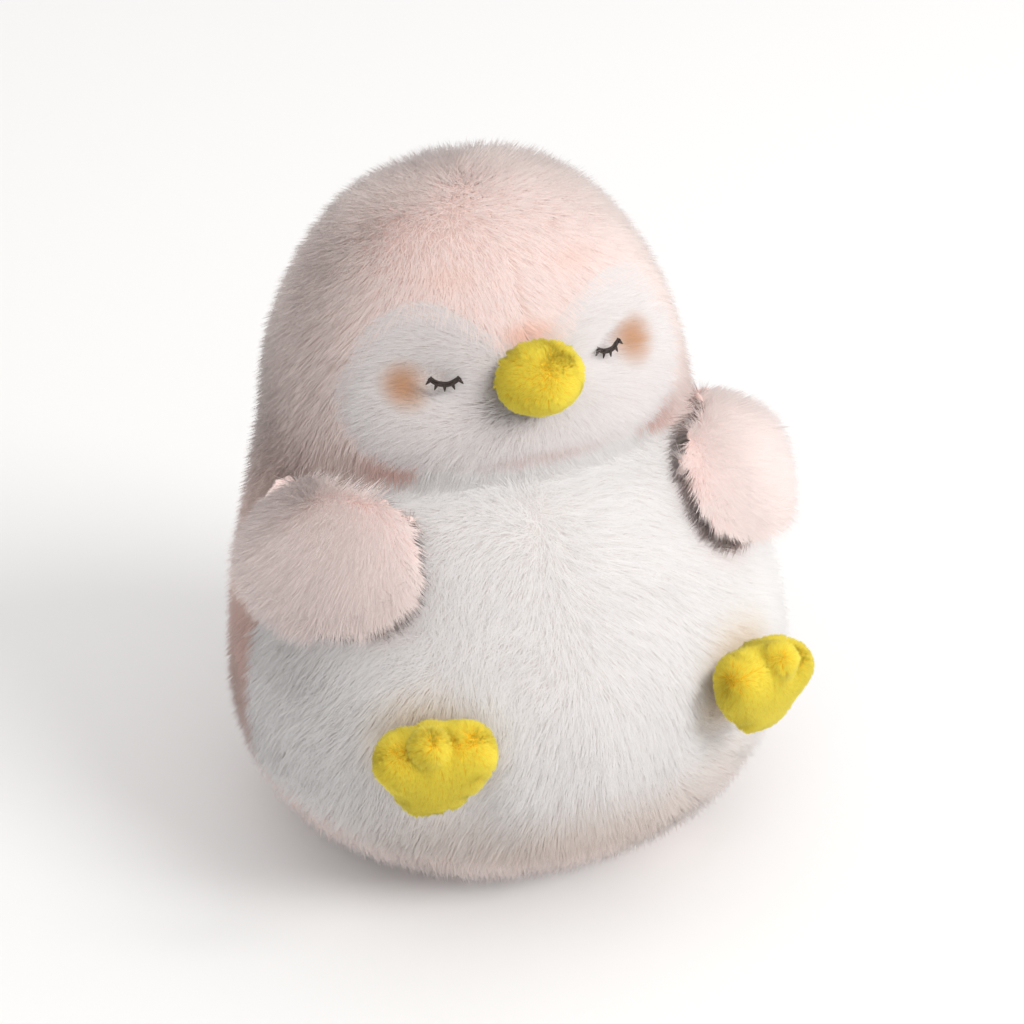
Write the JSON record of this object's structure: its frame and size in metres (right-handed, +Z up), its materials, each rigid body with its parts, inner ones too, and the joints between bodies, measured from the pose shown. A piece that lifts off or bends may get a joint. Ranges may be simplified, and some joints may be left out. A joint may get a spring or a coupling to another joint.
{
  "type": "plush toy penguin",
  "caption": "Sitting plush penguin of pink and white fur fabric with a stuffed yellow beak, stuffed wings and toed feet.",
  "frame": {"origin": "centre of the flat resting face under the body, on the floor", "axes": "+Z up through the crown, -Y out of the face and belly, +X to the penguin's own left"},
  "size_m": [0.186, 0.1761, 0.218],
  "materials": {
    "pink_fur": "long-pile faux fur, soft and matt",
    "white_fur": "long-pile faux fur, soft and matt",
    "yellow_plush": "short-pile plush, matt with a light sheen",
    "black_thread": "satin stitch embroidery",
    "stuffing": "polyester fibre filling"
  },
  "bodies": {
    "body": {"body_stuffing": "stuffing", "back_panel_left": "pink_fur", "back_panel_right": "pink_fur", "belly_panel": "white_fur", "face_panel": "white_fur", "base_panel": "pink_fur", "beak_upper_panel": "yellow_plush", "beak_lower_panel": "yellow_plush", "beak_stuffing": "stuffing", "left_eye_stitching": "black_thread", "right_eye_stitching": "black_thread"},
    "left_wing": {"left_wing_outer_panel": "pink_fur", "left_wing_inner_panel": "pink_fur", "left_wing_stuffing": "stuffing"},
    "left_foot": {"left_foot_upper_panel": "yellow_plush", "left_foot_sole_panel": "yellow_plush", "left_foot_stuffing": "stuffing"},
    "right_wing": {"right_wing_outer_panel": "pink_fur", "right_wing_inner_panel": "pink_fur", "right_wing_stuffing": "stuffing"},
    "right_foot": {"right_foot_upper_panel": "yellow_plush", "right_foot_sole_panel": "yellow_plush", "right_foot_stuffing": "stuffing"}
  },
  "joints": [
    {"name": "left_wing_root", "type": "hinge", "parent": "body", "child": "left_wing", "pos_m": [0.06869, 0.00896, 0.13245], "axis": [-0.6386, -0.2365, 0.7323], "range_deg": [0, 45], "stiffness_Nm_per_rad": 0.02},
    {"name": "left_foot_heel", "type": "hinge", "parent": "body", "child": "left_foot", "pos_m": [0.05132, -0.07178, 0.04605], "axis": [0.9648, 0.2618, 0.0245], "range_deg": [0, 20], "stiffness_Nm_per_rad": 0.03},
    {"name": "right_wing_root", "type": "hinge", "parent": "body", "child": "right_wing", "pos_m": [-0.06869, 0.00896, 0.13245], "axis": [-0.6386, 0.2365, -0.7323], "range_deg": [0, 45], "stiffness_Nm_per_rad": 0.02},
    {"name": "right_foot_heel", "type": "hinge", "parent": "body", "child": "right_foot", "pos_m": [-0.05132, -0.07178, 0.04605], "axis": [0.9648, -0.2618, -0.0245], "range_deg": [0, 20], "stiffness_Nm_per_rad": 0.03}
  ]
}
